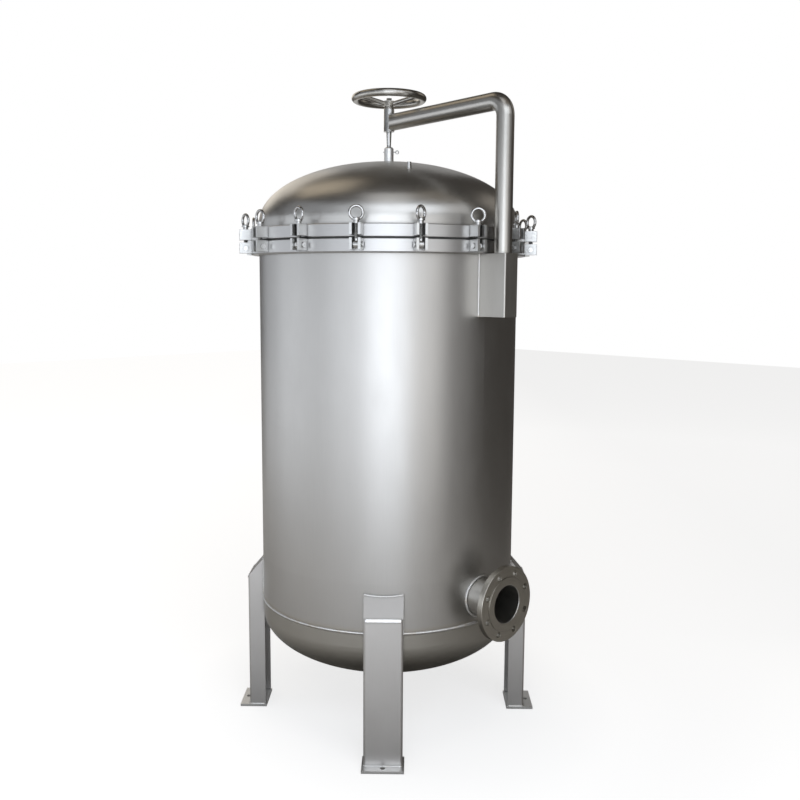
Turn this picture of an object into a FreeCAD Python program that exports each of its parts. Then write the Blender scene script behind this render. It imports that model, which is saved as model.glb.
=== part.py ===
"""Multi-cartridge filter housing with a swing-bolt lid and a screw davit.

Millimetres. The vessel's axis is Z and the floor is Z = 0. The outlet nozzle
and the davit post point along +X, the inlet nozzle along -X, and the four
legs stand on the diagonals.
"""
import FreeCAD, Part
import math
import os
import re

import Sketcher

DIMENSIONS = {
    # vessel
    "vessel_radius": 400,
    "wall": 4,
    "shell_bottom": 380,
    "shell_top": 1492.4,
    "head_skirt_bottom": 336,
    "bottom_head_depth": 171,
    "lid_skirt_top": 1554,
    "lid_head_height": 187,
    # body and lid flange rings, and the gasket between them
    "ring_radius": 424,
    "ring_chamfer": 1.5,
    "body_ring_bottom": 1456,
    "lid_ring_bottom": 1496.7,
    "lid_ring_top": 1532,
    "gasket_inner_radius": 404,
    "gasket_outer_radius": 419,
    "gasket_thickness": 4,
    # swing-bolt lugs
    "lug_outer_radius": 459.5,
    "body_lug_bottom": 1460.5,
    "lid_lug_bottom": 1500,
    "lid_lug_top": 1531.5,
    "lug_slot": 16.5,
    "ear_thickness": 7.5,
    "pivot_radius": 441,
    "pivot_height": 1475,
    "pin_radius": 5,
    "pin_head_radius": 7.5,
    "pin_head_height": 3,
    # swing bolts
    "bolt_radius": 6,
    "bolt_eye_radius": 11,
    "bolt_eye_width": 14,
    "bolt_top": 1546,
    "running_gap": 0.05,
    # eye nuts
    "collar_bottom": 1538.5,
    "collar_height": 4.5,
    "collar_radius": 11.5,
    "neck_radius": 7.9,
    "neck_bottom": 1530,
    "neck_top": 1545,
    "eye_centre_height": 1558.3,
    "eye_ring_radius": 18,
    "eye_wire_radius": 4.1,
    # nozzles
    "nozzle_height": 456,
    "nozzle_inner_end": 385,
    "pipe_outer_radius": 57.15,
    "pipe_wall": 2,
    "flange_face": 501.5,
    "flange_radius": 110,
    "flange_thickness": 20,
    "raised_face_radius": 79,
    "raised_face_height": 2,
    "flange_chamfer": 1,
    "pipe_setback": 2,
    "bolt_circle_radius": 90,
    "bolt_hole_radius": 9,
    "bolt_hole_count": 8,
    # legs and foot plates
    "leg_outer": 446.5,
    "leg_inner": 394,
    "leg_width": 112,
    "leg_sheet": 5,
    "leg_fold_radius": 8,
    "leg_cap_depth": 7,
    "leg_shoulder_height": 436.5,
    "leg_top_height": 498,
    "plate_thickness": 8,
    "plate_width": 122,
    "plate_outer": 476,
    "plate_inner": 391,
    "anchor_radius": 459,
    "anchor_hole_radius": 7,
    # davit
    "bracket_bottom": 1280,
    "bracket_top": 1456,
    "bracket_width": 56,
    "bracket_outer": 493.5,
    "bracket_sheet": 2.5,
    "bracket_fold_radius": 4,
    "post_radius": 25,
    "post_wall": 3,
    "post_offset": 461.3,
    "arm_end_plate": 3,
    "arm_height": 1862.7,
    "arm_slope": 1.2,
    "bend_radius": 42,
    "sleeve_radius": 16,
    "sleeve_bottom": 1836,
    "sleeve_top": 1903,
    # lift spindle, its socket and locking pin
    "spindle_radius": 8,
    "spindle_top": 1936,
    "taper_top": 1832,
    "taper_bottom": 1796,
    "shank_radius": 6.5,
    "shank_bottom": 1750,
    "socket_radius": 14.5,
    "socket_bottom": 1734,
    "socket_top": 1789,
    "socket_chamfer": 4,
    "lock_pin_height": 1775,
    "lock_pin_radius": 2,
    "lock_pin_tail": 17,
    "lock_pin_length": 38,
    "lock_loop_radius": 4.5,
    "lock_loop_wire": 1.6,
    "lock_pin_azimuth": 46.4,
    # vent on the lid, drain in the bottom head
    "vent_offset": 258,
    "vent_azimuth": -30.8,
    "vent_radius": 6.5,
    "vent_bore_radius": 4,
    "vent_bottom": 1680,
    "vent_top": 1714,
    "drain_radius": 21,
    "drain_bore_radius": 15,
    "drain_bottom": 138,
    "drain_top": 174,
    "plug_flange_radius": 20,
    "plug_flange_height": 5,
    "plug_square": 14,
    "plug_square_height": 10,
    # handwheel
    "wheel_rim_height": 1935,
    "wheel_rim_radius": 103.5,
    "wheel_rim_wire": 11.5,
    "hub_bottom": 1903.3,
    "hub_top": 1927,
    "hub_radius": 13.5,
    "hub_collar_radius": 19,
    "hub_collar_bottom": 1913,
    "spoke_radius": 6.5,
    "spoke_root_height": 1917,
    # filter internals
    "tube_sheet_bottom": 516,
    "tube_sheet_top": 526,
    "seat_hole_radius": 12.5,
    "cartridge_radius": 32.5,
    "cartridge_bore_radius": 14,
    "cartridge_length": 762,
    "cartridge_pitch": 86,
    "tie_rod_radius": 8,
    "tie_rod_top": 1330,
    "hold_down_radius": 380,
    "hold_down_thickness": 6,
    "hold_down_hole_radius": 12,
    "tie_nut_radius": 15,
    "tie_nut_height": 16,
}

Z_AXIS = FreeCAD.Vector(0, 0, 1)
UPRIGHT = FreeCAD.Rotation()
ALONG_X = FreeCAD.Rotation(FreeCAD.Vector(0, 1, 0), 90)
ALONG_Y = FreeCAD.Rotation(FreeCAD.Vector(1, 0, 0), -90)

SWING_BOLTS = 16
BOLT_STEP = 360 / SWING_BOLTS
FIRST_BOLT = 12.65
LEGS = 4
FIRST_LEG = 45
SPOKES = 3
FIRST_SPOKE = 16.4
CARTRIDGE_RINGS = 4

# How far each eye nut has come to rest from facing straight outwards, in degrees
# about its bolt. No two were tightened to quite the same angle.
EYE_TURNS = [35, 43, 15, 12, -20, 48, 80, 25, 60, 20, 25, 9, -16, 13, 42, -39]

doc = FreeCAD.newDocument("cartridge_filter_housing")
sheet = doc.addObject("Spreadsheet::Sheet", "dims")


def fill_sheet():
    """One row for each driving dimension, with the dimension's name as alias."""
    for row, (alias, value) in enumerate(DIMENSIONS.items(), start=1):
        sheet.set(f"A{row}", alias)
        sheet.set(f"B{row}", str(value))
        sheet.setAlias(f"B{row}", alias)
    doc.recompute()


def formula(text):
    """An expression in which every dimension's name points at its cell."""
    return re.sub(
        r"[a-z]\w+",
        lambda word: f"dims.{word.group()}" if word.group() in DIMENSIONS else word.group(),
        text,
    )


def bind(target, **expressions):
    """Tie properties of an object to formulas of the driving dimensions."""
    for name, text in expressions.items():
        target.setExpression(name, formula(text))
    return target


def place(solid, x="0", y="0", z="0", rotation=UPRIGHT):
    """Turn an object, then tie its position to formulas."""
    solid.Placement = FreeCAD.Placement(FreeCAD.Vector(), rotation)
    for axis, text in (("x", x), ("y", y), ("z", z)):
        if text != "0":
            solid.setExpression(f"Placement.Base.{axis}", formula(text))
    return solid


def turned(solid, azimuth):
    """Turn an object about the vessel's axis."""
    solid.Placement = FreeCAD.Placement(FreeCAD.Vector(), FreeCAD.Rotation(Z_AXIS, azimuth))
    return solid


def cylinder(name, radius, height, **position):
    solid = doc.addObject("Part::Cylinder", name)
    bind(solid, Radius=radius, Height=height)
    return place(solid, **position)


def cone(name, bottom_radius, top_radius, height, **position):
    solid = doc.addObject("Part::Cone", name)
    bind(solid, Radius1=bottom_radius, Radius2=top_radius, Height=height)
    return place(solid, **position)


def box(name, length, width, height, **position):
    solid = doc.addObject("Part::Box", name)
    bind(solid, Length=length, Width=width, Height=height)
    return place(solid, **position)


def torus(name, ring_radius, wire_radius, **position):
    solid = doc.addObject("Part::Torus", name)
    bind(solid, Radius1=ring_radius, Radius2=wire_radius)
    return place(solid, **position)


def half_ellipsoid(name, depth, radius, lower, z):
    """The upper or lower half of an ellipsoid whose equator lies at height z."""
    solid = doc.addObject("Part::Ellipsoid", name)
    bind(solid, Radius1=depth, Radius2=radius)
    solid.Radius3 = 0
    solid.Angle1 = -90 if lower else 0
    solid.Angle2 = 0 if lower else 90
    return place(solid, z=z)


def fuse(name, *solids):
    result = doc.addObject("Part::MultiFuse", name)
    result.Shapes = list(solids)
    return result


def cut(name, base, tool):
    result = doc.addObject("Part::Cut", name)
    result.Base = base
    result.Tool = tool
    return result


def group(name, solids):
    """Identical separate solids that share one node."""
    result = doc.addObject("Part::Compound", name)
    result.Links = solids
    return result


def tube(name, outer_radius, inner_radius, height, **position):
    return cut(
        name,
        cylinder(f"{name}_outside", outer_radius, height, **position),
        cylinder(f"{name}_inside", inner_radius, height, **position),
    )


def bolt_azimuths():
    return [FIRST_BOLT + BOLT_STEP * number for number in range(SWING_BOLTS)]


def leg_azimuths():
    return [FIRST_LEG + 360 / LEGS * number for number in range(LEGS)]


def origin_plane(body, role):
    return next(item for item in body.Origin.OriginFeatures if item.Role == role)


def sketch_on(body, name, role):
    sketch = body.newObject("Sketcher::SketchObject", name)
    sketch.AttachmentSupport = [(origin_plane(body, role), "")]
    sketch.MapMode = "FlatFace"
    return sketch


def draw_circle(sketch, radius, x="0", y="0"):
    """A circle whose radius and centre are tied to formulas."""
    index = sketch.addGeometry(Part.Circle(FreeCAD.Vector(1, 1, 0), Z_AXIS, 1))
    for kind, text in (("DistanceX", x), ("DistanceY", y)):
        number = sketch.addConstraint(Sketcher.Constraint(kind, -1, 1, index, 3, 1))
        sketch.setExpression(f"Constraints[{number}]", formula(text))
    number = sketch.addConstraint(Sketcher.Constraint("Radius", index, 1))
    sketch.setExpression(f"Constraints[{number}]", formula(radius))


def draw_outline(sketch, corners):
    """A closed polygon whose corners are tied to pairs of formulas."""
    values = [
        FreeCAD.Vector(*(evaluated(text) for text in corner), 0) for corner in corners
    ]
    lines = [
        sketch.addGeometry(Part.LineSegment(start, end))
        for start, end in zip(values, values[1:] + values[:1])
    ]
    for line, following in zip(lines, lines[1:] + lines[:1]):
        sketch.addConstraint(Sketcher.Constraint("Coincident", line, 2, following, 1))
    for line, value, corner in zip(lines, values, corners):
        for kind, place_now, text in (
            ("DistanceX", value.x, corner[0]),
            ("DistanceY", value.y, corner[1]),
        ):
            number = sketch.addConstraint(
                Sketcher.Constraint(kind, -1, 1, line, 1, place_now)
            )
            sketch.setExpression(f"Constraints[{number}]", formula(text))


def evaluated(text):
    """The present value of a formula of the driving dimensions."""
    return float(sheet.evalExpression(formula(text)))


def pad(body, name, sketch, length, midplane=False):
    feature = body.newObject("PartDesign::Pad", name)
    feature.Profile = sketch
    feature.Midplane = midplane
    bind(feature, Length=length)
    body.Tip = feature
    return feature


def pocket_through(body, name, sketch):
    feature = body.newObject("PartDesign::Pocket", name)
    feature.Profile = sketch
    feature.Type = "ThroughAll"
    feature.Midplane = True
    body.Tip = feature
    return feature


def circular_edges(feature, radius):
    """Names of a feature's edges that are full circles of one radius."""
    return [
        f"Edge{number}"
        for number, edge in enumerate(feature.Shape.Edges, start=1)
        if isinstance(edge.Curve, Part.Circle) and abs(edge.Curve.Radius - radius) < 0.01
    ]


def chamfer_circles(body, name, base, radius, size):
    doc.recompute()
    feature = body.newObject("PartDesign::Chamfer", name)
    feature.Base = (base, circular_edges(base, evaluated(radius)))
    bind(feature, Size=size)
    body.Tip = feature
    return feature


def upright_edges(feature, x):
    """Names of a feature's vertical edges at one distance from the vessel's axis."""
    return [
        f"Edge{number}"
        for number, edge in enumerate(feature.Shape.Edges, start=1)
        if all(abs(vertex.X - x) < 0.01 for vertex in edge.Vertexes)
        and abs(edge.Vertexes[0].Z - edge.Vertexes[-1].Z) > 1
    ]


def round_folds(body, name, base, x, radius):
    """Round a folded sheet's two vertical edges at one distance from the axis."""
    doc.recompute()
    feature = body.newObject("PartDesign::Fillet", name)
    feature.Base = (base, upright_edges(base, evaluated(x)))
    bind(feature, Radius=radius)
    body.Tip = feature
    return feature


def flat_ring(name, outer_radius, inner_radius, height, z):
    """A turned flange ring with chamfered outer edges."""
    body = doc.addObject("PartDesign::Body", name)
    sketch = sketch_on(body, f"{name}_section", "XY_Plane")
    draw_circle(sketch, outer_radius)
    draw_circle(sketch, inner_radius)
    base = pad(body, f"{name}_pad", sketch, height)
    chamfer_circles(body, f"{name}_chamfer", base, outer_radius, "ring_chamfer")
    return place(body, z=z)


def nozzle_hole(name, side):
    """The hole that a nozzle pipe passes through, on one side of the shell."""
    return cylinder(
        name,
        "pipe_outer_radius",
        "flange_face",
        x="0" if side > 0 else "-flange_face",
        z="nozzle_height",
        rotation=ALONG_X,
    )


def make_shell():
    height = "shell_top - shell_bottom"
    wall = tube("shell_wall", "vessel_radius", "vessel_radius - wall", height, z="shell_bottom")
    # each hole starts at the vessel's axis, so it runs out through one side only
    holes = fuse("shell_holes", nozzle_hole("outlet_hole", 1), nozzle_hole("inlet_hole", -1))
    return cut("shell", wall, holes)


def domed_solid(name, radius, depth, lower, equator, skirt_end):
    """A half ellipsoid joined to a straight skirt, solid all through."""
    head = half_ellipsoid(f"{name}_ellipsoid", depth, radius, lower, equator)
    bottom = equator if lower else skirt_end
    height = f"{skirt_end} - {equator}" if lower else f"{equator} - {skirt_end}"
    skirt = cylinder(f"{name}_skirt", radius, height, z=bottom)
    return fuse(name, head, skirt)


def make_bottom_head():
    outside = domed_solid(
        "bottom_outside",
        "vessel_radius",
        "bottom_head_depth",
        True,
        "head_skirt_bottom",
        "shell_bottom",
    )
    inside = domed_solid(
        "bottom_inside",
        "vessel_radius - wall",
        "bottom_head_depth - wall",
        True,
        "head_skirt_bottom",
        "shell_bottom",
    )
    drain = cylinder(
        "drain_hole", "drain_radius", "drain_top - drain_bottom", z="drain_bottom"
    )
    return cut("bottom_head", cut("bottom_wall", outside, inside), drain)


def make_lid_dome():
    outside = domed_solid(
        "lid_outside", "vessel_radius", "lid_head_height", False, "lid_skirt_top", "lid_ring_bottom"
    )
    inside = domed_solid(
        "lid_inside",
        "vessel_radius - wall",
        "lid_head_height - wall",
        False,
        "lid_skirt_top",
        "lid_ring_bottom",
    )
    socket_hole = cylinder(
        "socket_hole", "socket_radius", "socket_top - socket_bottom", z="socket_bottom"
    )
    vent_hole = cylinder(
        "vent_hole", "vent_radius", "vent_top - vent_bottom", **vent_position("vent_bottom")
    )
    holes = fuse("lid_holes", socket_hole, vent_hole)
    return cut("lid_dome", cut("lid_wall", outside, inside), holes)


def vent_position(z):
    return {
        "x": "vent_offset * cos(vent_azimuth * 1deg)",
        "y": "vent_offset * sin(vent_azimuth * 1deg)",
        "z": z,
    }


def make_gasket():
    return tube(
        "lid_gasket",
        "gasket_outer_radius",
        "gasket_inner_radius",
        "gasket_thickness",
        z="shell_top",
    )


def lug_block(name, z, height):
    """A slotted block on the +X side that reaches in to the flange ring's rim."""
    body = doc.addObject("PartDesign::Body", name)
    outline = sketch_on(body, f"{name}_outline", "XY_Plane")
    half = "(lug_slot / 2 + ear_thickness)"
    for side in ("", "-"):
        near = f"{side}lug_slot / 2"
        far = f"{side}{half}"
        draw_outline(
            outline,
            [
                ("ring_radius - ring_chamfer", near),
                ("lug_outer_radius", near),
                ("lug_outer_radius", far),
                ("ring_radius - ring_chamfer", far),
            ],
        )
    pad(body, f"{name}_pad", outline, height)
    return place(body, z=z)


def make_lugs(name, z, height, drilled):
    """Pairs of ears round a flange ring, cut back to the ring's rim."""
    ears = lug_block(f"{name}_block", z, height)
    rim = cylinder(f"{name}_rim", "ring_radius", height, z=z)
    tool = rim
    if drilled:
        pin_hole = cylinder(
            f"{name}_pin_hole",
            "pin_radius",
            "2 * (lug_slot + ear_thickness)",
            x="pivot_radius",
            y="-lug_slot - ear_thickness",
            z="pivot_height",
            rotation=ALONG_Y,
        )
        tool = fuse(f"{name}_tools", rim, pin_hole)
    pairs = [
        turned(cut(f"{name}_pair_{number:02d}", ears, tool), azimuth)
        for number, azimuth in enumerate(bolt_azimuths(), start=1)
    ]
    return group(name, pairs)


def make_pivot_pins():
    """Headed pins, one through each pair of lower ears."""
    half = "(lug_slot / 2 + ear_thickness)"
    shank = cylinder(
        "pin_shank",
        "pin_radius",
        f"2 * {half}",
        x="pivot_radius",
        y=f"-{half}",
        z="pivot_height",
        rotation=ALONG_Y,
    )
    heads = [
        cylinder(
            f"pin_head_{end}",
            "pin_head_radius",
            "pin_head_height",
            x="pivot_radius",
            y=y,
            z="pivot_height",
            rotation=ALONG_Y,
        )
        for end, y in (("left", half), ("right", f"-{half} - pin_head_height"))
    ]
    pins = [
        turned(fuse(f"pivot_pin_{number:02d}", shank, *heads), azimuth)
        for number, azimuth in enumerate(bolt_azimuths(), start=1)
    ]
    return group("pivot_pins", pins)


def make_swing_bolts():
    """Eye-ended bolts that stand in the lugs' slots and fold outwards."""
    rod = cylinder(
        "bolt_rod", "bolt_radius", "bolt_top - pivot_height", x="pivot_radius", z="pivot_height"
    )
    eye = cylinder(
        "bolt_eye",
        "bolt_eye_radius",
        "bolt_eye_width",
        x="pivot_radius",
        y="-bolt_eye_width / 2",
        z="pivot_height",
        rotation=ALONG_Y,
    )
    bore = cylinder(
        "bolt_eye_bore",
        "pin_radius + running_gap",
        "bolt_eye_width",
        x="pivot_radius",
        y="-bolt_eye_width / 2",
        z="pivot_height",
        rotation=ALONG_Y,
    )
    blank = fuse("bolt_blank", rod, eye)
    return [
        turned(cut(f"swing_bolt_{number:02d}", blank, bore), azimuth)
        for number, azimuth in enumerate(bolt_azimuths(), start=1)
    ]


def make_eye_nuts():
    """Lifting-eye nuts, each turned its own way about its bolt."""
    ring = torus(
        "eye_ring",
        "eye_ring_radius",
        "eye_wire_radius",
        z="eye_centre_height",
        rotation=ALONG_X,
    )
    collar = cylinder("eye_collar", "collar_radius", "collar_height", z="collar_bottom")
    neck = cylinder("eye_neck", "neck_radius", "neck_top - neck_bottom", z="neck_bottom")
    bore = cylinder(
        "eye_bore",
        "bolt_radius + running_gap",
        "eye_centre_height - neck_bottom",
        z="neck_bottom",
    )
    blank = fuse("eye_blank", ring, collar, neck)
    nuts = []
    for number, (azimuth, turn) in enumerate(zip(bolt_azimuths(), EYE_TURNS), start=1):
        nut = cut(f"eye_nut_{number:02d}", blank, bore)
        place(
            nut,
            x=f"pivot_radius * cos({azimuth}deg)",
            y=f"pivot_radius * sin({azimuth}deg)",
            rotation=FreeCAD.Rotation(Z_AXIS, azimuth + turn),
        )
        nuts.append(nut)
    return nuts


def make_nozzle_pipe(name, side):
    """A pipe stub set through the shell and into its flange."""
    length = "flange_face - pipe_setback - nozzle_inner_end"
    start = "nozzle_inner_end" if side > 0 else "pipe_setback - flange_face"
    return tube(
        name,
        "pipe_outer_radius",
        "pipe_outer_radius - pipe_wall",
        length,
        x=start,
        z="nozzle_height",
        rotation=ALONG_X,
    )


def make_nozzle_flange(name, side):
    """A slip-on flange with a raised face and bolt holes that straddle the centre lines."""
    body = doc.addObject("PartDesign::Body", name)
    disc = sketch_on(body, f"{name}_disc", "XY_Plane")
    draw_circle(disc, "flange_radius")
    draw_circle(disc, "pipe_outer_radius")
    plate = pad(body, f"{name}_plate", disc, "flange_thickness - raised_face_height")
    chamfer_circles(body, f"{name}_chamfer", plate, "flange_radius", "flange_chamfer")
    face = sketch_on(body, f"{name}_face", "XY_Plane")
    draw_circle(face, "raised_face_radius")
    draw_circle(face, "pipe_outer_radius")
    pad(body, f"{name}_raised_face", face, "flange_thickness")
    hole = sketch_on(body, f"{name}_hole", "XY_Plane")
    half_step = "180deg / bolt_hole_count"
    draw_circle(
        hole,
        "bolt_hole_radius",
        f"bolt_circle_radius * cos({half_step})",
        f"bolt_circle_radius * sin({half_step})",
    )
    drilled = pocket_through(body, f"{name}_drilled", hole)
    doc.recompute()
    pattern = body.newObject("PartDesign::PolarPattern", f"{name}_pattern")
    pattern.Originals = [drilled]
    pattern.Axis = (hole, ["N_Axis"])
    pattern.Angle = 360
    pattern.Occurrences = int(DIMENSIONS["bolt_hole_count"])
    bind(pattern, Occurrences="bolt_hole_count")
    body.Tip = pattern
    rotation = FreeCAD.Rotation(FreeCAD.Vector(0, 1, 0), 90 * side)
    back = "flange_face - flange_thickness"
    return place(body, x=back if side > 0 else f"-({back})", z="nozzle_height", rotation=rotation)


def make_leg_blank():
    """One folded channel leg on the +X side, open towards the axis, with a sloping cap."""
    body = doc.addObject("PartDesign::Body", "leg_blank")
    shoulder = "(leg_shoulder_height - plate_thickness)"
    top = "(leg_top_height - plate_thickness)"
    slope = f"({top} - {shoulder}) / (leg_outer - leg_inner)"
    channel = sketch_on(body, "leg_channel", "XY_Plane")
    draw_outline(
        channel,
        [
            ("leg_inner", "leg_width / 2"),
            ("leg_outer", "leg_width / 2"),
            ("leg_outer", "-leg_width / 2"),
            ("leg_inner", "-leg_width / 2"),
            ("leg_inner", "leg_sheet - leg_width / 2"),
            ("leg_outer - leg_sheet", "leg_sheet - leg_width / 2"),
            ("leg_outer - leg_sheet", "leg_width / 2 - leg_sheet"),
            ("leg_inner", "leg_width / 2 - leg_sheet"),
        ],
    )
    upright = pad(body, "leg_upright", channel, top)
    folded = round_folds(body, "leg_outer_folds", upright, "leg_outer", "leg_fold_radius")
    round_folds(
        body, "leg_inner_folds", folded, "leg_outer - leg_sheet", "leg_fold_radius - leg_sheet"
    )
    above = sketch_on(body, "leg_above_cap", "XZ_Plane")
    draw_outline(
        above,
        [
            ("leg_outer", shoulder),
            ("leg_outer + leg_sheet", shoulder),
            ("leg_outer + leg_sheet", f"{top} + leg_sheet"),
            ("leg_inner", f"{top} + leg_sheet"),
            ("leg_inner", top),
        ],
    )
    pocket_through(body, "leg_slant", above)
    cap = sketch_on(body, "leg_cap", "XZ_Plane")
    draw_outline(
        cap,
        [
            ("leg_inner", top),
            ("leg_inner", f"{top} - leg_cap_depth"),
            ("leg_outer - leg_sheet / 2", f"{shoulder} + leg_sheet / 2 * {slope} - leg_cap_depth"),
            ("leg_outer - leg_sheet / 2", f"{shoulder} + leg_sheet / 2 * {slope}"),
        ],
    )
    pad(body, "leg_cap_pad", cap, "leg_width - leg_sheet", midplane=True)
    return place(body, z="plate_thickness")


def make_legs():
    """Four legs, each cut to the outside of the shell and the bottom head."""
    vessel = fuse(
        "leg_trim",
        cylinder(
            "leg_trim_shell",
            "vessel_radius",
            "shell_top - head_skirt_bottom",
            z="head_skirt_bottom",
        ),
        half_ellipsoid(
            "leg_trim_head", "bottom_head_depth", "vessel_radius", True, "head_skirt_bottom"
        ),
    )
    blank = make_leg_blank()
    legs = [
        turned(cut(f"leg_{number}", blank, vessel), azimuth)
        for number, azimuth in enumerate(leg_azimuths(), start=1)
    ]
    return group("legs", legs)


def make_foot_plates():
    """Anchor plates under the legs, each with one bolt hole outside the leg."""
    plate = box(
        "foot_plate_blank",
        "plate_outer - plate_inner",
        "plate_width",
        "plate_thickness",
        x="plate_inner",
        y="-plate_width / 2",
    )
    hole = cylinder(
        "foot_plate_hole", "anchor_hole_radius", "plate_thickness", x="anchor_radius"
    )
    plates = [
        turned(cut(f"foot_plate_{number}", plate, hole), azimuth)
        for number, azimuth in enumerate(leg_azimuths(), start=1)
    ]
    return group("foot_plates", plates)


def make_davit_bracket():
    """A folded box welded to the shell, with a hole in its top for the post."""
    outside = doc.addObject("PartDesign::Body", "bracket_outside")
    plan = sketch_on(outside, "bracket_plan", "XY_Plane")
    draw_outline(
        plan,
        [
            ("leg_inner", "bracket_width / 2"),
            ("bracket_outer", "bracket_width / 2"),
            ("bracket_outer", "-bracket_width / 2"),
            ("leg_inner", "-bracket_width / 2"),
        ],
    )
    block = pad(outside, "bracket_block", plan, "bracket_top - bracket_bottom")
    round_folds(outside, "bracket_folds", block, "bracket_outer", "bracket_fold_radius")
    place(outside, z="bracket_bottom")
    hollow = box(
        "bracket_hollow",
        "bracket_outer - bracket_sheet - leg_inner",
        "bracket_width - 2 * bracket_sheet",
        "bracket_top - bracket_bottom - 2 * bracket_sheet",
        x="leg_inner",
        y="-bracket_width / 2 + bracket_sheet",
        z="bracket_bottom + bracket_sheet",
    )
    shell_face = cylinder(
        "bracket_shell_face",
        "vessel_radius",
        "bracket_top - bracket_bottom",
        z="bracket_bottom",
    )
    post_hole = cylinder(
        "bracket_post_hole",
        "post_radius",
        "2 * bracket_sheet",
        x="post_offset",
        z="bracket_top - bracket_sheet",
    )
    return cut("davit_bracket", outside, fuse("bracket_tools", hollow, shell_face, post_hole))


def davit_pipe_solid(name, radius):
    """A round bar that runs up the post, round one bend and down a slight slope to the axis."""
    slope = "arm_slope * 1deg"
    reach = f"(post_offset - bend_radius - bend_radius * sin({slope}))"
    bend_height = f"(arm_height + {reach} * tan({slope}) - bend_radius * cos({slope}))"
    post = cylinder(
        f"{name}_upright",
        radius,
        f"{bend_height} - bracket_bottom - bracket_sheet",
        x="post_offset",
        z="bracket_bottom + bracket_sheet",
    )
    arm = cylinder(
        f"{name}_arm",
        radius,
        f"{reach} / cos({slope})",
        z="arm_height",
        rotation=FreeCAD.Rotation(FreeCAD.Vector(0, 1, 0), 90 - DIMENSIONS["arm_slope"]),
    )
    bend = torus(
        f"{name}_bend",
        "bend_radius",
        radius,
        x="post_offset - bend_radius",
        z=bend_height,
        rotation=FreeCAD.Rotation(FreeCAD.Vector(1, 0, 0), 90),
    )
    bend.Angle3 = 90 + DIMENSIONS["arm_slope"]
    return fuse(name, post, bend, arm)


def trimmed_arm(name, bar, tip):
    """Cut the arm's end to a right-angled wedge, its tip a given distance from the axis."""
    sides = [
        box(
            f"{name}_side_{azimuth}",
            "2 * post_radius",
            "2 * post_radius",
            "4 * post_radius",
            x=tip,
            z="arm_height - 2 * post_radius",
            rotation=FreeCAD.Rotation(Z_AXIS, azimuth),
        )
        for azimuth in (45, 225)
    ]
    return cut(name, bar, fuse(f"{name}_sides", *sides))


def make_davit_pipe():
    """The davit's post and arm, one bent pipe with a plated wedge against the sleeve."""
    bar = davit_pipe_solid("davit_outside", "post_radius")
    outside = trimmed_arm("davit_trimmed", bar, "0")
    hollow = davit_pipe_solid("davit_inside", "post_radius - post_wall")
    inside = trimmed_arm("davit_hollow", hollow, "arm_end_plate * sqrt(2)")
    sleeve_side = cylinder(
        "davit_sleeve_side",
        "sleeve_radius",
        "4 * post_radius",
        z="arm_height - 2 * post_radius",
    )
    return cut("davit_pipe", outside, fuse("davit_tools", inside, sleeve_side))


def make_davit_sleeve():
    return tube(
        "davit_sleeve",
        "sleeve_radius",
        "spindle_radius + running_gap",
        "sleeve_top - sleeve_bottom",
        z="sleeve_bottom",
    )


def make_lid_socket():
    """The boss on the lid that holds the foot of the spindle."""
    straight = cylinder(
        "socket_straight",
        "socket_radius",
        "socket_top - socket_chamfer - socket_bottom",
        z="socket_bottom",
    )
    shoulder = cone(
        "socket_shoulder",
        "socket_radius",
        "socket_radius - socket_chamfer",
        "socket_chamfer",
        z="socket_top - socket_chamfer",
    )
    bore = cylinder("socket_bore", "shank_radius", "socket_top - shank_bottom", z="shank_bottom")
    blank = fuse("socket_blank", straight, shoulder)
    return cut("lid_socket", blank, fuse("socket_tools", bore, lock_hole("socket")))


def lock_hole(owner):
    """The cross hole for the locking pin."""
    return cylinder(
        f"{owner}_lock_hole",
        "lock_pin_radius",
        "lock_pin_length + lock_pin_tail",
        x="-lock_pin_tail * cos(lock_pin_azimuth * 1deg)",
        y="-lock_pin_tail * sin(lock_pin_azimuth * 1deg)",
        z="lock_pin_height",
        rotation=lock_pin_rotation(),
    )


def lock_pin_rotation():
    """Level, at the locking pin's own azimuth."""
    return FreeCAD.Rotation(Z_AXIS, DIMENSIONS["lock_pin_azimuth"]).multiply(ALONG_X)


def make_lift_spindle():
    """The lift screw: a full-size thread bar with a thinner shank at its foot."""
    bar = cylinder("spindle_bar", "spindle_radius", "spindle_top - taper_top", z="taper_top")
    taper = cone(
        "spindle_taper",
        "shank_radius",
        "spindle_radius",
        "taper_top - taper_bottom",
        z="taper_bottom",
    )
    shank = cylinder(
        "spindle_shank", "shank_radius", "taper_bottom - shank_bottom", z="shank_bottom"
    )
    return cut("lift_spindle", fuse("spindle_blank", bar, taper, shank), lock_hole("spindle"))


def make_locking_pin():
    """A ringed pin through the socket and the spindle's shank."""
    shaft = cylinder(
        "lock_pin_shaft",
        "lock_pin_radius",
        "lock_pin_length",
        x="-lock_pin_tail * cos(lock_pin_azimuth * 1deg)",
        y="-lock_pin_tail * sin(lock_pin_azimuth * 1deg)",
        z="lock_pin_height",
        rotation=lock_pin_rotation(),
    )
    reach = "(lock_pin_length - lock_pin_tail + lock_loop_radius)"
    loop = torus(
        "lock_pin_loop",
        "lock_loop_radius",
        "lock_loop_wire",
        x=f"{reach} * cos(lock_pin_azimuth * 1deg)",
        y=f"{reach} * sin(lock_pin_azimuth * 1deg)",
        z="lock_pin_height",
        rotation=FreeCAD.Rotation(Z_AXIS, DIMENSIONS["lock_pin_azimuth"]).multiply(ALONG_Y),
    )
    return fuse("locking_pin", shaft, loop)


def make_vent_socket():
    return tube(
        "vent_socket",
        "vent_radius",
        "vent_bore_radius",
        "vent_top - vent_bottom",
        **vent_position("vent_bottom"),
    )


def make_drain_socket():
    return tube(
        "drain_socket",
        "drain_radius",
        "drain_bore_radius",
        "drain_top - drain_bottom",
        z="drain_bottom",
    )


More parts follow.
